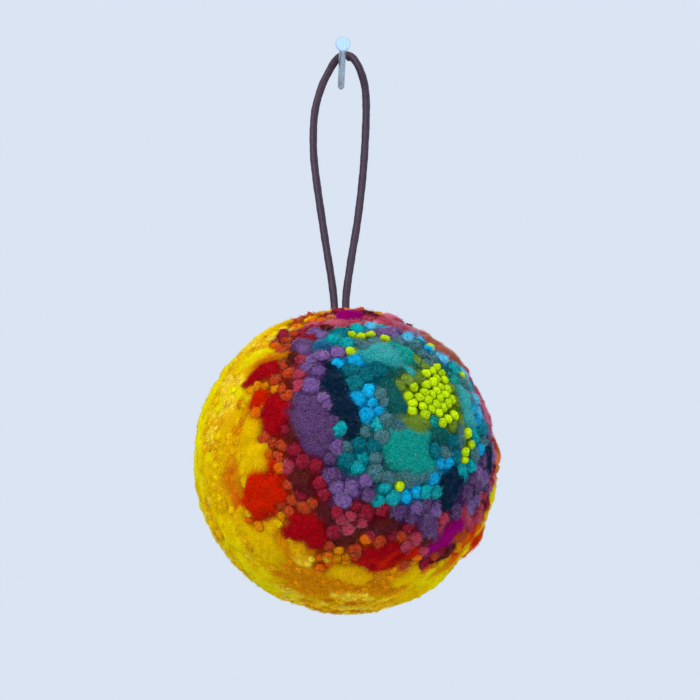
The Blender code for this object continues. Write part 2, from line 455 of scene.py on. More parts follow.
class Layout:
    """Says for any direction which patch or ring it lies in, how deep inside, and which yarn it has."""

    # how far a patch's edge strays in broad and in fine waves, and a ring's, as shares of its size
    BROAD, FINE, RING_STRAY = 0.12, 0.05, 0.035
    LIME_STRAY = 0.3  # a lime patch's edge strays only this much of that
    NEAR = 0.5  # cosine of the widest angle at which a patch is looked for
    CLUSTERED, ALONE = 0.55, 0.45  # how far neighbours share a yarn, and how far chance picks one
    SWING = 0.62  # how far from the middle of a patch's yarns the clusters reach
    FELT_BELOW, FELT_SLOPE = -0.5, 3.0  # where the outer field packs less than this, it has felt; mm

    def __init__(self, rng):
        self.wobble, self.fine = Waves(rng, 3.4), Waves(rng, 1.6)
        self.cluster, self.lumps, self.packing = Waves(rng, 4.2), Waves(rng, 7.5), Waves(rng, 4.5)
        self.eye = direction(EYE_AZ, EYE_EL)
        east, north = tangents(self.eye[None])
        turn = math.radians(LEAN_TURN)
        self.lean = east[0] * math.cos(turn) + north[0] * math.sin(turn)

    def swell(self, dirs):
        """How far the trimmed ball stands out, in mm."""
        out = LUMP * self.lumps(dirs)
        for az, el, reach, height in SWELLS:
            away = RADIUS * angles(dirs, direction(az, el))
            out += height * np.exp(-((away / reach) ** 2))
        return out

    def patches(self, dirs):
        """(row or -1, depth inside in mm)."""
        row = np.full(len(dirs), -1)
        depth = np.zeros(len(dirs))
        edge = self.wobble(dirs) * self.BROAD + self.fine(dirs) * self.FINE
        for n, (az, el, long, wide, turn, kind, *_) in enumerate(PATCHES):
            middle = direction(az, el)
            cos = dirs @ middle
            near = (row < 0) & (cos > self.NEAR)
            some = dirs[near]
            east, north = tangents(middle[None])
            angle = np.arccos(np.clip(cos[near], -1, 1))
            side = np.stack([some @ east[0], some @ north[0]], 1)
            side *= (RADIUS * angle / np.maximum(np.linalg.norm(side, axis=1), 1e-9))[:, None]
            a, b = turned(*side.T, -turn)
            stray = self.LIME_STRAY if kind == "lime" else 1.0
            q = np.sqrt((a / long) ** 2 + (b / wide) ** 2) + edge[near] * stray
            inside = q < 1
            index = np.flatnonzero(near)[inside]
            row[index] = n
            depth[index] = (1 - q[inside]) * min(long, wide)
        return row, depth

    def ring(self, dirs):
        cos = np.clip(dirs @ self.eye, -1, 1)
        away = dirs - cos[:, None] * self.eye
        away /= np.maximum(np.linalg.norm(away, axis=1, keepdims=True), 1e-9)
        reach = EYE_REACH + EYE_LEAN * (away @ self.lean)
        share = np.degrees(np.arccos(cos)) / reach + self.RING_STRAY * self.wobble(dirs)
        return np.searchsorted([r[0] for r in RINGS], share)

    def yarn(self, dirs, row, ring, chance):
        """The palette index for each direction. chance is from 0 to 1, a number or one for each."""
        pick = 0.5 + self.SWING * self.cluster(dirs)
        pick = np.clip(self.CLUSTERED * pick + self.ALONE * chance, 0, 0.999)
        out = np.zeros(len(dirs), int)

        def mix(here, names):
            yarns = [NAMES.index(name) for name in names]
            out[here] = np.take(yarns, (pick[here] * len(yarns)).astype(int))

        for n, patch in enumerate(PATCHES):
            mix(row == n, patch[6:])
        for n, (_, *names) in enumerate(RINGS):
            mix((row < 0) & (ring == n), names)
        return out

    def between(self, dirs):
        """How deep in mm into the felt between the patches of the outer field; below 0 there are grains."""
        return self.FELT_SLOPE * (self.FELT_BELOW - self.packing(dirs))

    def kind(self, dirs, row, ring):
        kinds = np.array([KINDS.index(patch[5]) for patch in PATCHES])
        field = np.where(self.between(dirs) > 0, FELT, GRAIN)
        return np.where(row >= 0, kinds[row], np.where(ring >= FIELD_RING, field, ENDS))

    def at(self, dirs, chance):
        """(yarn, kind, row, depth) for each direction."""
        row, depth = self.patches(dirs)
        ring = self.ring(dirs)
        return self.yarn(dirs, row, ring, chance), self.kind(dirs, row, ring), row, depth


# ---------------- meshes


def circle(steps, shift=0.0):
    """Points round a circle of radius 1, anticlockwise: (steps, 2)."""
    turn = (np.arange(steps) + shift) * math.tau / steps
    return np.stack([np.cos(turn), np.sin(turn)], 1)


def spindle(sides, rings):
    """The triangles of a closed piece: a point, then rings of this many points, which turn anticlockwise
    about the way from the first point to the last, then a point."""
    k = np.arange(sides)
    m = (k + 1) % sides
    last = 1 + (rings - 1) * sides
    tris = [(np.zeros(sides, int), 1 + m, 1 + k)]
    for a in range(1, last, sides):
        b = a + sides
        tris += [(a + k, b + m, b + k), (a + k, a + m, b + m)]
    tris.append((np.full(sides, last + sides), last + k, last + m))
    return np.concatenate([np.stack(corners, 1) for corners in tris])


def copies(tris, count):
    """The triangles of this many such pieces, one after another."""
    return (tris + (np.arange(count) * (tris.max() + 1))[:, None, None]).reshape(-1, 3)


def in_cells(spot, cell, side):
    """The map of many such pieces. spot is each corner's place in one cell, from 0 to 1, cell the number of
    each piece's cell, and side how many cells the map has along one side."""
    corner = np.stack([cell % side, cell // side], 1)
    return ((spot + corner[:, None, None]) / side).reshape(-1, 2)


def new_object(name, points, faces, tint, flat, material):
    """points in mm in the row frame; faces all have the same number of corners; tint is a colour for each
    point and, after it, how much its fibres differ; flat is each corner's place in the map."""
    mesh = bpy.data.meshes.new(name)
    count, corners = faces.shape
    mesh.vertices.add(len(points))
    mesh.vertices.foreach_set("co", (points * MM).astype(np.float32).ravel())
    mesh.loops.add(count * corners)
    mesh.loops.foreach_set("vertex_index", faces.astype(np.int32).ravel())
    mesh.polygons.add(count)
    mesh.polygons.foreach_set("loop_start", np.arange(count, dtype=np.int32) * corners)
    mesh.polygons.foreach_set("use_smooth", np.full(count, True))
    mesh.update(calc_edges=True)
    rgba = np.ones((len(points), 4), np.float32)
    rgba[:, : tint.shape[1]] = np.clip(tint, 0, 1)
    colours = mesh.color_attributes.new(TINT, "FLOAT_COLOR", "POINT")
    colours.data.foreach_set("color", rgba.ravel())
    mesh.uv_layers.new(name=MAP).uv.foreach_set("vector", flat.astype(np.float32).ravel())
    mesh.materials.append(material)
    return add_object(name, mesh)


PRESSED = 0.9  # mm before the wall plane at which the ball starts to flatten
FLATTENED = 0.98  # how near the wall plane it can come, as a share of that


def settle(points):
    """Ball points in the row frame, pressed in where the ball rests on the wall plane, y = 0."""
    placed = points + BALL
    past = np.maximum(placed[:, 1] + PRESSED, 0)
    pressed = PRESSED * (1 - np.exp(-past / PRESSED)) * FLATTENED
    placed[:, 1] = np.minimum(placed[:, 1], -PRESSED) + pressed
    return placed


def yarn_piece(name, points, faces, tint, flat, material):
    """A piece of the pom pom, whose points are round the ball's centre."""
    obj = new_object(name, settle(points), faces, tint, flat, material)
    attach(obj, "root")
    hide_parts("pompom")


# ---------------- materials


class Graph:
    """A material's nodes. Inputs are {name or number: a value, or the output that feeds it}."""

    def __init__(self, name):
        self.material = bpy.data.materials.new(name)
        self.material.use_nodes = True
        self.tree = self.material.node_tree

    def feed(self, node, inputs):
        for name, value in inputs.items():
            if isinstance(value, bpy.types.NodeSocket):
                self.tree.links.new(value, node.inputs[name])
            else:
                node.inputs[name].default_value = value

    def add(self, kind, inputs, output=0, **settings):
        """A new node; returns one of its outputs."""
        node = self.tree.nodes.new("ShaderNode" + kind)
        for name, value in settings.items():
            setattr(node, name, value)
        self.feed(node, inputs)
        return node.outputs[output]

    def place(self):
        return self.add("TexCoord", {}, "Object")

    def tint(self, output):
        return self.add("Attribute", {}, output, attribute_name=TINT)

    def noise(self, scale, detail, rough, at=None):
        at = self.place() if at is None else at
        return self.add("TexNoise", {"Vector": at, "Scale": scale, "Detail": detail, "Roughness": rough})

    def maths(self, operation, *inputs):
        return self.add("Math", dict(enumerate(inputs)), operation=operation)

    def vector(self, operation, *inputs):
        output = "Value" if operation == "LENGTH" else "Vector"
        return self.add("VectorMath", dict(enumerate(inputs)), output, operation=operation)

    def ramp(self, source, low, high, least=0.0, most=1.0):
        """Spreads low to high out to least to most, and stops there."""
        ends = {"From Min": low, "From Max": high, "To Min": least, "To Max": most}
        return self.add("MapRange", {"Value": source, **ends})

    def blend(self, low, high, factor):
        """From one colour to another; a tuple is sRGB, 0 to 255."""
        low, high = [(*linear(c), 1) if isinstance(c, tuple) else c for c in (low, high)]
        return self.add("Mix", {"Factor": factor, "A": low, "B": high}, "Result", data_type="RGBA")

    def bump(self, height, strength, distance):
        return self.add("Bump", {"Height": height, "Strength": strength, "Distance": distance})

    def finish(self, inputs):
        """Feeds the shader; returns the material."""
        self.feed(self.tree.nodes["Principled BSDF"], inputs)
        return self.material


FIBRE_GRAIN = 2600.0  # noise features of a fibre's size, in a metre
USUAL = (0.34, 0.66)  # where most of the noise lies
WOOL_BUMP = 0.00018  # metres
STRANDS, TURNS, ALONG = 4.5, 5.0, 5.0  # noise features round a yarn end, its twist and features outwards
APART = (17.0, 29.0, 0.0)  # between one end's noise and the next one's


def add_strands(graph, cells):
    """Noise drawn out along a spiral about the middle of each yarn end, from its cell of the map."""
    spot = graph.add("UVMap", {}, uv_map=MAP)
    spot = graph.vector("MULTIPLY", spot, (cells, cells, 0.0))
    centred = graph.vector("SUBTRACT", graph.vector("FRACTION", spot), (0.5, 0.5, 0.0))
    far = graph.vector("LENGTH", centred)
    twist = {"Vector": centred, "Angle": graph.maths("MULTIPLY", far, TURNS)}
    spun = graph.add("VectorRotate", twist, rotation_type="Z_AXIS")
    ray = graph.vector("MULTIPLY", graph.vector("NORMALIZE", spun), (STRANDS, STRANDS, 0.0))
    lift = graph.add("CombineXYZ", {"Z": graph.maths("MULTIPLY", far, ALONG)})
    own = graph.vector("MULTIPLY", graph.vector("FLOOR", spot), APART)
    return graph.noise(1.0, 2.0, 0.5, graph.vector("ADD", graph.vector("ADD", ray, lift), own))


GLOW, GLOW_RADIUS = 0.35, (1.0, 0.8, 0.7)  # mm that light passes through wool, and its share for each colour


def glow(share):
    """Lets this share of the light pass a little way through the fibres."""
    scale = GLOW * MM
    return {"Subsurface Weight": share, "Subsurface Radius": GLOW_RADIUS, "Subsurface Scale": scale}


def wool(name, mottle, bump, gloss=0.0, rough=0.95, soft=0.6, cells=0):
    """Yarn whose colour is the mesh's own tint, broken up at the size of a fibre. The tint's alpha says by
    how much. With cells, the number along one side of the map, each yarn end also shows its strands."""
    graph = Graph(name)
    relief = graph.noise(FIBRE_GRAIN, 3.0, 0.65)
    fleck = graph.ramp(relief, *USUAL, -mottle, mottle)
    if cells:
        strands = add_strands(graph, cells)
        fleck = graph.maths("ADD", fleck, graph.ramp(strands, *USUAL, -mottle, mottle))
        relief = graph.maths("ADD", relief, strands)
    gain = graph.maths("MULTIPLY_ADD", fleck, graph.tint("Alpha"), 1.0)
    coloured = {0: graph.tint("Color"), "Scale": gain}
    return graph.finish({
        "Base Color": graph.add("VectorMath", coloured, operation="SCALE"),
        "Normal": graph.bump(relief, bump, WOOL_BUMP),
        "Roughness": rough,
        "Specular IOR Level": gloss,
        **glow(soft),
    })


def loose_fibre():
    graph = Graph("wool_fibre")
    colour = graph.tint("Color")
    return graph.finish({"Base Color": colour, "Roughness": 0.9, "Specular IOR Level": 0.0, **glow(0.8)})


HEAD_BACK = -0.0262  # y in metres where the nail's head ends and its shank starts
HEAD_EDGE = 0.0002
RUSTY = (-0.0015, 0.0005)  # y in metres where the rust starts, and where it's full
DRAWN = 0.05  # the grain of the drawn steel: how dense it is lengthwise, as a share
STEEL_BUMP = 0.00008  # metres


def steel():
    """Steel, drawn lengthwise on the shank and a little rusty at the wall; the head is painted lighter, a
    painted reflection, and the shank darker, painted shade.
    """
    graph = Graph("nail_steel")
    place = graph.place()
    drawn = graph.add("Mapping", {"Vector": place, "Scale": (1.0, DRAWN, 1.0)})
    noise = graph.noise(FIBRE_GRAIN, 2.0, 0.5, drawn)
    depth = graph.add("SeparateXYZ", {"Vector": place}, "Y")
    grain = graph.ramp(noise, 0.25, 0.75)
    # painted reflection on the head, painted shade on the shank
    head = graph.blend((168, 197, 221), (174, 202, 226), grain)
    shank = graph.blend((128, 144, 154), (176, 192, 204), grain)
    rust = graph.blend(shank, (96, 62, 44), graph.ramp(noise, 0.48, 0.62))
    shank = graph.blend(shank, rust, graph.ramp(depth, *RUSTY))
    return graph.finish({
        "Base Color": graph.blend(head, shank, graph.ramp(depth, HEAD_BACK, HEAD_BACK + HEAD_EDGE)),
        "Normal": graph.bump(noise, 0.3, STEEL_BUMP),
        "Metallic": 0.9,
        "Roughness": 0.38,
    })


def pale_floor():
    graph = Graph("pale_floor")
    colour = graph.blend((206, 211, 218), (213, 218, 224), graph.noise(30.0, 3.0, 0.6))
    return graph.finish({"Base Color": colour, "Roughness": 0.8})


# ---------------- yarn ends


class Cut(NamedTuple):
    """How one kind of yarn end is shaped, packed and covered, in mm and shares."""

    piece: str
    coat: tuple  # for wool()
    steps: int  # points round it
    rings: tuple  # where its rings of points lie, from its middle to its outline
    dome: float  # how far its rim drops
    plies: int
    groove: float  # depth between the plies
    rough: float
    rim: float  # how much painted shade darkens its rim
    top: float  # how far its middle stands out of the ball
    uneven: float  # how much that differs from end to end
    tilt: float
    spread: float  # its outline, of what its neighbours leave it
    close: float  # how near two ends start, of their two radii
    floor: float  # height of the ground under it
    dark: float  # how bright that ground is under its painted shade
    fibres: float  # how thickly its fibres stand
    fibre_length: float


GRAIN_CUT = Cut(
    "yarn_grain", ("wool_grain", 0.8, 0.35), steps=10, rings=(0.42, 0.76, 1.0), dome=0.56, plies=2,
    groove=0.08, rough=0.10, rim=0.24, top=-0.08, uneven=0.15, tilt=0.08, spread=1.10, close=0.86,
    floor=-0.38, dark=0.90, fibres=1.30, fibre_length=1.0,
)
WOOL_CUT = Cut(
    "yarn_ends", ("wool_ends", 0.6, 0.55), steps=20, rings=(0.2, 0.4, 0.58, 0.74, 0.87, 0.96, 1.0), dome=1.05,
    plies=3, groove=0.36, rough=0.13, rim=0.32, top=0.0, uneven=0.32, tilt=0.12, spread=1.08, close=0.80,
    floor=-0.74, dark=0.42, fibres=1.20, fibre_length=1.0,
)
LIME_CUT = Cut(
    "yarn_lime", ("lime_cotton", 0.6, 0.50, 0.05, 0.7, 0.45), steps=24,
    rings=(0.22, 0.42, 0.6, 0.75, 0.87, 0.96, 1.0), dome=1.2, plies=3, groove=0.56, rough=0.06, rim=0.50,
    top=0.40, uneven=0.16, tilt=0.14, spread=1.16, close=0.86, floor=-1.25, dark=0.22, fibres=0.4,
    fibre_length=0.4,
)
CUTS = (GRAIN_CUT, WOOL_CUT, LIME_CUT)  # in the order of KINDS

LIME_PITCH, LIME_REACH, LIME_TURN = 2.28, 11.0, 34.0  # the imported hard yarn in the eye: mm, mm, degrees
LIME_SHIFT = 0.10  # mm that each of those ends is off its place, about
TRIES = 30000  # places tried for an end
SIZES, LIME_SIZES = 0.20, 0.05  # how much the ends' radii differ, as shares
CORD_ROOM = 0.15  # mm free round the cord
ROUNDS, STAY = 3, 0.5  # rounds of evening out, and how far an end holds its place in each


def nearest(dirs, sites, weight):
    """The index of each direction's nearest site, where a site's reach grows with its weight."""
    out = np.empty(len(dirs), int)
    batch = 4000
    for at in range(0, len(dirs), batch):
        some = slice(at, at + batch)
        out[some] = (angles(dirs[some], sites) / weight).argmin(1)
    return out


def scatter(layout, rng, keep_off):
    """The yarn ends, packed by their sizes, with none in felt or where the cord comes out. The first sites
    stand for the cord. Returns directions, radii, yarns, kinds."""
    packed = lattice(layout.eye, LIME_PITCH, LIME_REACH, LIME_TURN)
    packed = unit(packed + rng.normal(size=packed.shape) * LIME_SHIFT / RADIUS)
    tries = np.vstack([packed, random_directions(rng, TRIES)])
    yarn, kind, _, _ = layout.at(tries, rng.uniform(0, 1, len(tries)))
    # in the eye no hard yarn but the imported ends
    extra = tries @ layout.eye > math.cos(LIME_REACH / RADIUS)
    extra[: len(packed)] = False
    kind[extra & (kind == LIME)] = FELT
    differ = np.where(kind == LIME, LIME_SIZES, SIZES)
    radius = END_RADIUS[yarn] * (1 + differ * rng.uniform(-1, 1, len(tries)))

    fixed = len(keep_off)
    place, size, kept = np.array(keep_off), np.full(fixed, CORD_D / 2 + CORD_ROOM), []
    for i in np.argsort(kind != LIME, kind="stable"):
        if kind[i] == FELT:
            continue
        gap = RADIUS * angles(place, tries[i])
        if (gap > CUTS[kind[i]].close * (size + radius[i])).all():
            kept.append(i)
            place = np.vstack([place, tries[i]])
            size = np.append(size, radius[i])
    area = tries[kind != FELT]
    for _ in range(ROUNDS):
        total = np.zeros_like(place)
        np.add.at(total, nearest(area, place, size), area)
        place[fixed:] = unit(total + place * STAY)[fixed:]
    none = np.full(fixed, -1)
    return place, size, np.r_[none, yarn[kept]], np.r_[none, kind[kept]]


NEIGHBOURS = 12  # how many may press on an end
ACROSS = 0.15  # cosine of the widest angle at which one does
SHARP = 6  # how sharply the outline turns from one to the next
FILL, LEAST = 1.06, 0.5  # how far an end spreads with no neighbour and at the least, as shares of its radius


def outlines(dirs, radius, steps, turn):
    """Each end's outline, in mm from its middle, as its neighbours press on it, and the angles of its
    points: both (n, steps)."""
    near = np.argsort(-(dirs @ dirs.T), axis=1)[:, 1 : 1 + NEIGHBOURS]
    east, north = tangents(dirs)
    to = dirs[near] - dirs[:, None]
    x = np.einsum("ijk,ik->ij", to, east) * RADIUS
    y = np.einsum("ijk,ik->ij", to, north) * RADIUS
    far, own = np.hypot(x, y), radius[:, None]
    share = far * own / (own + radius[near])
    angle = turn[:, None] + np.arange(steps) * math.tau / steps
    cos = np.cos(angle)[..., None] * (x / far)[:, None] + np.sin(angle)[..., None] * (y / far)[:, None]
    limit = np.where(cos > ACROSS, share[:, None] / np.maximum(cos, ACROSS), 99.0)
    tight = -np.log(np.exp(-limit * SHARP).sum(2) + np.exp(-own * FILL * SHARP)) / SHARP
    return np.maximum(tight, own * LEAST), angle


FOOT = 2.4  # mm that an end goes down into the ball
SWIRL = (1.4, 3.0)  # how far its plies turn from its middle to its rim, in radians
TONE, WAVES = 0.09, 0.8  # how much the ends differ in brightness, and the size of their bumps in mm
END_HAZE = 0.10  # how much of its yarn's haze an end's colour has
# how bright an end is at its middle, just inside its rim and at its foot, and how much darker in a groove
MIDDLE_SHADE, RIM_SHADE, FOOT_SHADE, GROOVE_SHADE = 1.05, 1.1, 0.5, 0.35
RIM_ROOT, RIM_SPLAY = 0.97, 1.3  # how near the rim a fibre starts, and how far out it points there
TWISTED, OUTWARDS, ASTRAY = 0.9, 0.5, 0.45  # which way the fibres lie: with the twist, out and anywhere
IN_CELL, FOOT_IN_CELL = 0.42, 0.47  # radii of an end and of its hidden foot, drawn out round it, in its cell


class Ends:
    """The domed tops of one kind of yarn end, as closed pieces in one mesh."""

    def __init__(self, layout, rng, kind, sites):
        dirs, radius, yarn, kinds = sites
        which = np.flatnonzero(kinds == kind)
        self.kind, self.cut, self.count = kind, CUTS[kind], len(which)
        self.side = math.ceil(math.sqrt(self.count))
        edge, angle = outlines(dirs, radius, self.cut.steps, rng.uniform(0, math.tau, len(dirs)))
        self.edge, self.angle = edge[which] * self.cut.spread, angle[which]
        self.dirs, self.yarn = dirs[which], yarn[which]
        self.east, self.north = tangents(self.dirs)
        uneven = rng.uniform(-self.cut.uneven, self.cut.uneven, self.count)
        self.top = self.cut.top + uneven + layout.swell(self.dirs)
        self.tilt = rng.normal(size=(self.count, 2)) * self.cut.tilt
        self.swirl = rng.uniform(*SWIRL, self.count) * rng.choice((-1, 1), self.count)
        self.gain = np.exp(rng.normal(size=self.count) * TONE)
        self.waves = Waves(rng, WAVES)

    def place(self, i, t, angle, edge):
        """Points on the dome of end i, at share t of the outline, and how deep in a groove, 0 to 1."""
        dome = -self.cut.dome * (1 - np.sqrt(np.clip(1 - t**2, 0, 1)))
        ply = (1 - np.abs(np.cos(self.cut.plies / 2 * (angle - self.swirl[i] * t)))) ** 2
        ply *= np.sin(np.clip(t * 1.2, 0, 1) * math.pi)  # no groove at the middle or near the rim
        x, y = edge * t * np.cos(angle), edge * t * np.sin(angle)
        out = unit(self.dirs[i] + (self.east[i] * x[:, None] + self.north[i] * y[:, None]) / RADIUS)
        z = self.top[i] + dome - self.cut.groove * ply + self.tilt[i, 0] * x + self.tilt[i, 1] * y
        z += self.cut.rough * self.waves(out)
        return out * (RADIUS + z)[:, None], ply

    def tint(self, shade):
        """Each point's colour, given its shade, and how much its fibres differ."""
        lively = LIVELY[self.yarn][:, None]
        shade = 1 + (shade - 1) * (0.3 + 1.2 * lively)
        tint = shaded(fibre_tint(self.yarn, END_HAZE)[:, None], (shade * self.gain[:, None])[..., None])
        if self.kind == LIME:  # the painted shade in its grooves is browner
            tint[..., 1] *= 0.45 + 0.55 * np.clip(shade, 0, 1)
        return np.concatenate([tint, np.broadcast_to(lively, shade.shape)[..., None]], 2).reshape(-1, 4)

    def make(self):
        n, s, rings = self.count, self.cut.steps, self.cut.rings
        every = np.repeat(np.arange(n), s)
        middle, _ = self.place(np.arange(n), np.zeros(n), self.angle[:, 0], self.edge[:, 0])
        # painted shade: each end darkens towards its rim, in its grooves and at its foot
        points, shade = [middle[:, None]], [np.full((n, 1), MIDDLE_SHADE)]
        for t in rings:
            ring, ply = self.place(every, np.full(n * s, t), self.angle.ravel(), self.edge.ravel())
            points.append(ring.reshape(n, s, 3))
            shade.append(((RIM_SHADE - self.cut.rim * t**3) * (1 - GROOVE_SHADE * ply)).reshape(n, s))
        points.append((self.dirs * (RADIUS - FOOT))[:, None])
        shade.append(np.full((n, 1), FOOT_SHADE))
        tris = spindle(s, len(rings))[:, ::-1]
        centre = np.zeros((1, 2))
        spot = np.vstack([centre, *[circle(s) * IN_CELL * t for t in rings], centre])[tris]
        spot[-s:, 2] = circle(s, 0.5) * FOOT_IN_CELL
        yarn_piece(
            self.cut.piece,
            np.concatenate(points, 1).reshape(-1, 3),
            copies(tris, n),
            self.tint(np.concatenate(shade, 1)),
            in_cells(spot + 0.5, np.arange(n), self.side),
            wool(*self.cut.coat, cells=self.side),
        )

    def roots(self, rng):
        """Where fibres start on these ends: points, outward directions, the way they lie and the yarns."""
        area = (self.edge**2).mean(1) * density(self.yarn)
        count = int(FIBRES_PER_MM2 * self.cut.fibres * math.pi * area.sum())
        i = rng.choice(self.count, count, p=area / area.sum())
        t = np.sqrt(rng.uniform(0, 1, count)) * RIM_ROOT
        k = rng.integers(0, self.cut.steps, count)
        angle, edge = self.angle[i, k], self.edge[i, k]
        points, _ = self.place(i, t, angle, edge)
        ray = self.east[i] * np.cos(angle)[:, None] + self.north[i] * np.sin(angle)[:, None]
        out = unit(self.dirs[i] + ray * (RIM_SPLAY * t**3)[:, None])
        way = np.cross(self.dirs[i], ray) * np.sign(self.swirl[i])[:, None] * TWISTED
        way += ray * OUTWARDS + rng.normal(size=(count, 3)) * ASTRAY
        return points, out, way, self.yarn[i]


# ---------------- the ground of the ball

GRID = 84  # quads along one side of each of its six grids
DROP, SHOULDER = 0.85, 1.7  # mm that a mound of felt is lower at its edge, and how far in that reaches
CROWN, CROWN_AT = 0.55, 4.0  # mm that it rises on towards its middle, and how far in that ends
CALM_MOUND, BETWEEN_MOUND = 0.8, 0.3  # how high it is in calm yarns and between the grains, as a share
BUMPS = ((2.4, 0.05, 0.13), (1.2, 0.09, 0.08))  # sizes in mm, and heights in calm yarns and in others
EDGE_SHADE, EDGE_WIDTH = 0.3, 1.1  # how much darker a mound's edge is, and mm
FELT_HAZE, FELT_TONE = 0.05, 0.05  # how much haze the felt has, and how much it differs in brightness
MAP_EDGE = 0.02  # free round each grid in the map


def cube_ball(n):
    """A ball made of six n by n grids: directions, quads, and each quad corner's place in a flat map."""
    x, y = grid(np.tan((np.arange(n + 1) * 2 / n - 1) * math.pi / 4))
    one = np.ones_like(x)
    sides = ((x, y, one), (x, -y, -one), (one, x, y), (-one, -x, y), (-x, one, y), (x, -one, y))
    points = unit(np.concatenate([np.stack(s, 1) for s in sides]))
    i, j = grid(np.arange(n))
    base = j * (n + 1) + i
    quad = np.stack([base, base + 1, base + n + 2, base + n + 1], 1)
    quads = np.concatenate([quad + k * (n + 1) ** 2 for k in range(6)])
    corner = np.stack([i, j], 1)[:, None] + np.array(((0, 0), (1, 0), (1, 1), (0, 1)))
    corner = MAP_EDGE + (1 - 2 * MAP_EDGE) * corner / n
    flat = np.concatenate([(corner + (k % 3, k // 3)) / (3, 2) for k in range(6)])
    _, first, index = np.unique(np.round(points, 6), axis=0, return_index=True, return_inverse=True)
    return points[first], index.ravel()[quads], flat.reshape(-1, 2)


def smoothstep(x):
    x = np.clip(x, 0, 1)
    return x * x * (3 - 2 * x)


def smoothed(values, quads, times):
    """Each point's value or values, averaged with its neighbours'."""
    if values.ndim == 2:
        return np.stack([smoothed(channel, quads, times) for channel in values.T], 1)
    a = quads.ravel()
    b = np.roll(quads, -1, axis=1).ravel()
    share = np.bincount(a, minlength=len(values)) + np.bincount(b, minlength=len(values))
    for _ in range(times):
        total = np.bincount(a, values[b], len(values)) + np.bincount(b, values[a], len(values))
        values = 0.5 * values + 0.5 * total / share
    return values


def make_ground(layout, rng, sites):
    """The felted patches as mounds, and under the yarn ends a floor darkened by painted shade. Returns the
    felt's quads, as the directions and the points of their corners."""
    dirs, quads, flat = cube_ball(GRID)
    yarn, kind, row, depth = layout.at(dirs, 0.5)
    felt, calm = kind == FELT, np.isin(yarn, CALM)
    between = felt & (row < 0)
    depth[between] = layout.between(dirs[between])

    mound = DROP * (smoothstep(depth / SHOULDER) ** 0.7 - 1) + CROWN * np.clip(depth / CROWN_AT, 0, 1)
    mound *= np.where(between, BETWEEN_MOUND, np.where(calm, CALM_MOUND, 1.0))
    floor = np.array([*(cut.floor for cut in CUTS), 0.0])
    height = smoothed(np.where(felt, mound, floor[kind]), quads, 2) + layout.swell(dirs)
    for reach, calm_height, other in BUMPS:
        height += felt * np.where(calm, calm_height, other) * Waves(rng, reach)(dirs)
    points = dirs * (RADIUS + height)[:, None]

    edge = 1 - EDGE_SHADE * (0.2 + LIVELY[yarn]) * (1 - smoothstep(depth / EDGE_WIDTH))
    edge *= np.exp(FELT_TONE * rng.normal(size=len(dirs)))
    tint = shaded(fibre_tint(yarn, FELT_HAZE), edge[:, None])
    place, size, yarn_ends, kinds = sites
    first, low = (kinds < 0).sum(), ~felt  # the first sites are the cord's
    over = nearest(dirs[low], place[first:], size[first:]) + first
    # the ground under the yarn ends takes their colour darkened by painted shade, which the smoothing below
    # also spreads into the felt's edges
    dark = np.array([cut.dark for cut in CUTS])
    tint[low] = shaded(PALETTE[yarn_ends[over]], dark[kind[low], None])
    tint = smoothed(np.column_stack([tint, LIVELY[yarn]]), quads, 2)
    blur = smoothed((calm & felt).astype(float), quads, 4)[:, None] ** 2
    tint = tint * (1 - blur) + blur * smoothed(tint, quads, 5)
    yarn_piece("felt_ground", points, quads, tint, flat, wool("wool_felt", 0.8, 0.50))
    soft = quads[felt[quads].all(1)]
    return dirs[soft], points[soft]


# ---------------- loose fibres

TONES = 12  # how many tones a yarn's fibres have
SHEETS = 19  # cells along one side of the fibres' map: one cell for each tone of each yarn
MOST_FIBRES = 32000  # in one piece
FIBRES_PER_MM2 = 6.2
FIBRE_WIDTH, FIBRE_LEAN = (0.045, 0.085), (0.45, 1.0)  # mm, and from 0, upright, to 1, flat
END_FIBRE, FELT_FIBRE = (0.6, 1.3), (0.55, 1.2)  # mm long
END_CURL, FELT_CURL = 0.9, 0.6  # how far their tips turn aside
DEEP, PALE = 1.1, 1.6  # the beta distribution of their tones; more are deep than pale
ROOT, CURL_ROOT = 0.15, 0.2  # mm that a fibre starts under the surface
STRAYS = 0.42  # mm that felt of one colour reaches into the next, about
CURLS, CURL_WIDTH = 1800, (0.04, 0.065)  # mm
CURL_SHAPE = ((1.5, 3.0), (0.55, 1.5), (0.1, 0.35))  # mm long, mm radius, mm high
CURL_TONE = (0.3, 0.85)


def bent(points, out, way, length, lean, curl):
    """Short fibres with one bend: root, middle and tip. way is the direction a fibre leans in; lean is how
    far, from 0, upright, to 1, flat."""
    side, across = leaning(way, out)
    lean, half = (lean * math.pi / 2)[:, None], length[:, None] / 2
    root = points - out * ROOT
    # its lower half leans less than its upper half
    middle = root + (out * np.cos(lean * 0.7) + side * np.sin(lean * 0.7)) * half
    end = out * np.cos(lean * 1.2) + side * np.sin(lean * 1.2) + across * curl[:, None]
    return np.stack([root, middle, middle + unit(end) * half], 1)


def curled(points, out, way, length, radius, rise):
    """Long fibres that lie over their neighbours in an arc: five points each."""
    side, across = leaning(way, out)
    path = [points - out * CURL_ROOT]
    for share in (0.25, 0.5, 0.75, 1.0):
        angle = (length * share / radius)[:, None]
        flat = (side * np.sin(angle) + across * (1 - np.cos(angle))) * radius[:, None]
        path.append(points + flat + out * (rise * math.sin(math.pi * share * 0.8))[:, None])
    return np.stack(path, 1)


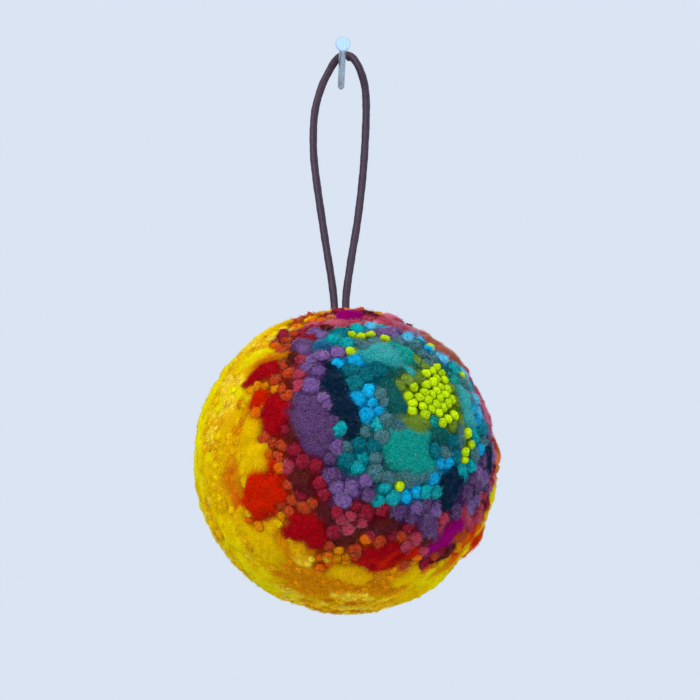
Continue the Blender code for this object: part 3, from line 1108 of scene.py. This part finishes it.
class Fuzz:
    """Closed three-sided fibres: a point at the root, a ring at each joint on the way, a point at the tip."""

    def __init__(self, joints):
        self.rings, self.blocks = joints - 2, []

    def add(self, path, out, width, yarn, tone):
        """path is (n, joints, 3); tone is from 0, deep, to 1, pale."""
        rings = []
        for j in range(1, 1 + self.rings):
            along = path[:, j + 1] - path[:, j - 1]
            flat = unit(np.cross(along, out))
            other = unit(np.cross(along, flat))
            for x, y in circle(3):
                rings.append(path[:, j] + (flat * x + other * y) * width[:, None] / 2)
        points = np.stack([path[:, 0], *rings, path[:, -1]], 1)
        self.blocks.append((points, yarn * TONES + np.minimum(tone * TONES, TONES - 1).astype(int)))

    def add_short(self, rng, points, out, way, yarn, length, lean, curl):
        count = len(points)
        lean = lean + (1 - lean) * LIE_DOWN * np.isin(yarn, CALM)
        width = rng.uniform(*FIBRE_WIDTH, count)
        self.add(bent(points, out, way, length, lean, curl), out, width, yarn, rng.beta(DEEP, PALE, count))

    def make(self, name, material):
        """The pieces, in the order of their fibres' colours."""
        points, cell = [np.concatenate(block) for block in zip(*self.blocks)]
        order = np.argsort(cell, kind="stable")
        points, cell = points[order], cell[order]
        yarn, tone = cell // TONES, (cell % TONES) / (TONES - 1)
        lively = LIVELY[yarn]
        body = fibre_tint(yarn, 0.95 * tone**2) * (1 + lively * (tone - 0.6))[:, None]
        # painted shade darkens each fibre towards its root, and it grows lighter towards its tip, partly
        # painted light and partly paler wool
        root = shaded(body, (1 - 0.6 * lively)[:, None])
        # how far along the fibre each of its points is
        share = np.r_[0.0, np.repeat(np.arange(1, self.rings + 1) / (self.rings + 1), 3), 1.0]
        mix = np.clip(share * 2, 0, 1)[:, None]
        tint = (root[:, None] * (1 - mix) + body[:, None] * mix) * (1 + 0.15 * share)[:, None]
        tris = spindle(3, self.rings)
        across = np.r_[0.5, np.tile((0.2, 0.5, 0.8), self.rings), 0.5]
        spot = np.stack([across, 0.1 + 0.8 * share], 1)[tris]
        parts = math.ceil(len(points) / MOST_FIBRES)
        for part, some in enumerate(np.array_split(np.arange(len(points)), parts)):
            faces, flat = copies(tris, len(some)), in_cells(spot, cell[some], SHEETS)
            shape = points[some].reshape(-1, 3), faces, tint[some].reshape(-1, 3), flat
            yarn_piece(f"{name}_{part + 1}", *shape, material)


def cover_felt(fuzz, rng, layout, dirs, corners):
    """Adds the felt's short fibres. Returns their roots and yarns."""
    normal = np.cross(corners[:, 2] - corners[:, 0], corners[:, 3] - corners[:, 1])
    area = np.linalg.norm(normal, axis=1) / 2
    weight = area * density(layout.at(dirs[:, 0], 0.5)[0])
    count = int(FIBRES_PER_MM2 * weight.sum())
    pick = rng.choice(len(corners), count, p=weight / weight.sum())
    points = np.einsum("ij,ijk->ik", rng.dirichlet(np.ones(4), count), corners[pick])
    near = unit(points + rng.normal(size=points.shape) * STRAYS)
    yarn = layout.at(near, rng.uniform(0.3, 0.7, count))[0]
    length, lean = rng.uniform(*FELT_FIBRE, count), rng.uniform(*FIBRE_LEAN, count)
    way, curl = rng.normal(size=(count, 3)), rng.normal(size=count) * FELT_CURL
    fuzz.add_short(rng, points, normal[pick] / (2 * area[pick])[:, None], way, yarn, length, lean, curl)
    return points, yarn


def cover_ends(fuzz, rng, ends):
    """Adds the short fibres of these yarn ends. Returns their roots and yarns."""
    points, out, way, yarn = ends.roots(rng)
    count = len(points)
    length = rng.uniform(*END_FIBRE, count) * ends.cut.fibre_length
    lean, curl = rng.uniform(*FIBRE_LEAN, count), rng.normal(size=count) * END_CURL
    fuzz.add_short(rng, points, out, way, yarn, length, lean, curl)
    return points, yarn


def make_curls(rng, material, points, yarn):
    """Longer fibres from some of these roots, more of them on the hazier yarns."""
    weight = HAZE[yarn]
    pick = rng.choice(len(points), CURLS, replace=False, p=weight / weight.sum())
    points, yarn, out = points[pick], yarn[pick], unit(points[pick])
    length, radius, rise = (rng.uniform(*limits, CURLS) for limits in CURL_SHAPE)
    path = curled(points, out, rng.normal(size=points.shape), length, radius, rise)
    curls = Fuzz(5)
    curls.add(path, out, rng.uniform(*CURL_WIDTH, CURLS), yarn, rng.uniform(*CURL_TONE, CURLS))
    curls.make("long_fibres", material)


# ---------------- the pom pom


def cord_exits(path):
    """The two directions from the ball's centre where the cord leaves it."""
    inside = np.flatnonzero(np.linalg.norm(path - BALL, axis=1) < RADIUS)
    half = len(path) // 2
    return unit(path[[inside[inside < half].max(), inside[inside > half].min()]] - BALL)


def make_pompom(rng, path):
    layout = Layout(rng)
    sites = scatter(layout, rng, cord_exits(path))
    fuzz, roots = Fuzz(3), {}
    for kind in (GRAIN, ENDS, LIME):
        ends = Ends(layout, rng, kind, sites)
        ends.make()
        roots[kind] = cover_ends(fuzz, rng, ends)
    roots[FELT] = cover_felt(fuzz, rng, layout, *make_ground(layout, rng, sites))
    material = loose_fibre()
    fuzz.make("yarn_fibres", material)
    points, yarn = [np.concatenate(both) for both in zip(roots[ENDS], roots[FELT])]
    make_curls(rng, material, points, yarn)


# ---------------- the cord

# The loop as in part.py: the cord crosses over the nail this far along it and off its middle, and from
# there the route is given in mm to the right, down towards the ball's middle, and back.
NAIL_RISE, NAIL_SWING = math.radians(11.0), math.radians(1.0)
CROSSING_ALONG, CROSSING_OFF = 10.4, 2.2
LOOP_ROUTE = table("""
# side, down, back
-2.35 77.0 0.0
-2.35 69.5 0.0
-2.9 62.0 0.1
-4.9 48.0 0.6
-7.0 32.0 1.5
-7.6 23.5 2.1
-7.2 14.5 3.0
-5.5 7.6 3.4
-3.6 3.5 3.0
-1.8 0.7 2.0
-0.1 -0.2 0.4
1.6 0.4 -1.4
3.1 1.9 -2.4
4.7 5.3 -3.0
5.9 10.5 -2.9
6.0 18.5 -2.3
5.2 31.7 -1.3
3.7 44.5 -0.8
1.9 55.2 -0.3
0.6 64.0 0.0
0.4 69.5 0.0
0.4 77.0 0.0
""")
CORD_STEP = 0.5  # mm between rings of points
CORD_SIDES = 18
SPLINE_STEPS = 24


def cord_route():
    """The cord's centreline, in mm, and its length."""
    along = unit(np.array((math.sin(NAIL_SWING), -math.cos(NAIL_RISE), math.sin(NAIL_RISE))))
    upright = unit(np.array((0, 0, 1.0)) - along * along[2])
    top = along * CROSSING_ALONG + upright * CROSSING_OFF
    up = unit(top - BALL)
    side = unit(np.array((1.0, 0, 0)) - up * up[0])
    back = np.cross(up, side)
    route = np.array([top + side * a - up * b + back * c for a, b, c in LOOP_ROUTE])
    ends = np.vstack([2 * route[0] - route[1], route, 2 * route[-1] - route[-2]])
    t = (np.arange(SPLINE_STEPS) / SPLINE_STEPS)[:, None]
    fine = [
        0.5 * (2 * b + (c - a) * t + (2 * a - 5 * b + 4 * c - d) * t**2 + (3 * b - a - 3 * c + d) * t**3)
        for a, b, c, d in zip(ends, ends[1:], ends[2:], ends[3:])
    ]
    fine = np.vstack([*fine, route[-1:]])
    far = np.r_[0, np.cumsum(np.linalg.norm(np.diff(fine, axis=0), axis=1))]
    at = np.linspace(0, far[-1], round(far[-1] / CORD_STEP) + 1)
    return np.stack([np.interp(at, far, fine[:, k]) for k in range(3)], 1), far[-1]


def cord_frames(path):
    """(normal, across): two directions square to the cord at each point, with no twist between them."""
    normal, normals = np.array((0.0, -1.0, 0.0)), []
    ahead = unit(np.gradient(path, axis=0))
    for way in ahead:
        normal = unit(normal - way * (normal @ way))
        normals.append(normal)
    return np.array(normals), np.cross(ahead, normals)


STRIPS = 5  # how many lengths the cord is cut into in its map
CAP = ((0.991, 0.5), (0.998, 0.52), (0.998, 0.48))  # where each triangle of its two ends lies in the map


def cord_map(n):
    """Each corner's place in the map, for a cord of n rings."""
    each = math.ceil((n - 1) / STRIPS)
    i, k = np.arange(n - 1)[:, None, None, None], np.arange(CORD_SIDES)[:, None]
    # which corners of a quad's two triangles are at the next ring, and which at the next side
    next_ring, next_side = np.array((((0, 1, 1), (0, 0, 1)), ((0, 1, 0), (0, 1, 1))))[:, :, None]
    strip = i // each
    u = 0.01 + 0.97 * ((i - strip * each) / each + next_ring * STRIPS / (n - 1) * 0.99)
    v = (strip + 0.04 + 0.92 * (k + next_side) / CORD_SIDES) / STRIPS
    u, v = np.broadcast_arrays(u, v)
    cap = np.tile(CAP, (CORD_SIDES, 1, 1)).reshape(-1, 2)
    return np.vstack([cap, np.stack([u, v], -1).reshape(-1, 2), cap])


CORE = 0.985  # its radius under the waves and ridges, as a share
# Waves along it and ridges round it, as shares of its radius, and the streaks in its sheen. A row gives
# the height, how many go round it, how far one shifts in a mm along it, and where it starts, in radians.
WAVY = ((0.025, 0, 0.9, 1), (0.02, 0, 2.3, 0), (0.015, 0, 5.1, 0), (0.03, 3, 0.05, 0), (0.02, 7, -0.11, 0))
STREAKS = ((0.5, 5, 0.06, 1), (0.5, 9, -0.09, 0))
GRAININESS = 0.4  # how much its sheen differs from point to point
NUB_AT, NUB_WIDE, NUB_OUT = 84.0, 0.7, 0.5  # a small nub under it: mm along the cord, mm, mm
LEATHER, LEATHER_SHEEN = (34, 20, 33), (58, 36, 56)


def ripples(rows, angle, far):
    """The sum of these waves at each angle round the cord and each distance along it."""
    return sum(height * np.sin(turns * angle + rate * far + start) for height, turns, rate, start in rows)


def make_cord(rng):
    path, length = cord_route()
    normal, across = cord_frames(path)
    n, ring = len(path), circle(CORD_SIDES)
    angle = np.arange(CORD_SIDES) * math.tau / CORD_SIDES
    far = np.linspace(0, length, n)[:, None]
    size = CORD_D / 2 * CORE * (1 + ripples(WAVY, angle, far))
    outward = normal[:, None] * ring[:, :1] + across[:, None] * ring[:, 1:]
    below = np.clip(-outward[..., 2] - 0.2 * outward[..., 0], 0, 1) ** 2
    size += NUB_OUT * np.exp(-(((far - NUB_AT) / NUB_WIDE) ** 2)) * below
    points = (path[:, None] + outward * size[..., None]).reshape(-1, 3)

    streak = ripples(STREAKS, angle, far) + GRAININESS * rng.normal(size=size.shape)
    sheen = np.clip(0.5 + 0.5 * streak, 0, 1).reshape(-1, 1)
    tint = linear(LEATHER) * (1 - sheen) + linear(LEATHER_SHEEN) * sheen
    obj = new_object(
        "loop_cord",
        np.vstack([path[:1], points, path[-1:]]),
        spindle(CORD_SIDES, n),
        np.vstack([tint[:1], tint, tint[-1:]]),
        cord_map(n),
        wool("leather_cord", 0.28, 0.45, 0.35, 0.55, 0.0),
    )
    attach(obj, "root")
    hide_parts("hanging_loop")
    return path


# ---------------- surroundings

# name, place in metres, size in metres, power in watts, colour; each points at the ball
LAMPS = (
    ("key", (-0.55, -0.85, 0.75), 0.45, 13.0, (1.0, 0.98, 0.95)),
    ("fill", (0.9, -0.7, 0.1), 0.8, 3.7, (0.92, 0.96, 1.0)),
    ("low", (0.0, -0.16, -0.27), 0.12, 0.04, (0.98, 0.99, 1.0)),
    ("back", (0.3, 0.9, 0.6), 0.8, 4.0, (0.95, 0.97, 1.0)),
)
SKY = (218, 228, 242)
FLOOR_AT, FLOOR_RADIUS, FLOOR_SIDES = -300, 600, 64  # mm, mm


def make_lamp(name, place, size, power, colour):
    data = bpy.data.lights.new(name, "AREA")
    data.shape, data.size, data.energy, data.color = "DISK", size, power, colour
    lamp = add_object(name, data)
    lamp.location, lamp.visible_camera = place, False
    lamp.rotation_euler = Vector(BALL * MM - place).to_track_quat("-Z", "Y").to_euler()


def make_floor():
    ring = circle(FLOOR_SIDES) * FLOOR_RADIUS + (0, BALL[1])
    data = bpy.data.meshes.new("floor")
    data.from_pydata([(x * MM, y * MM, FLOOR_AT * MM) for x, y in ring], [], [range(FLOOR_SIDES)])
    data.materials.append(pale_floor())
    add_object("floor", data)


def make_studio():
    scene = bpy.context.scene
    scene.view_settings.view_transform = "Standard"
    scene.world = bpy.data.worlds.new("studio")
    scene.world.use_nodes = True
    sky = scene.world.node_tree.nodes["Background"].inputs
    sky["Color"].default_value, sky["Strength"].default_value = (*linear(SKY), 1), 1.0
    for row in LAMPS:
        make_lamp(*row)
    make_floor()


def main():
    make_camera()
    path = make_cord(np.random.default_rng(SEED + 1))
    make_pompom(np.random.default_rng(SEED), path)
    nail = bpy.data.objects["nail"]
    nail.data.materials.clear()
    nail.data.materials.append(steel())
    make_studio()


main()
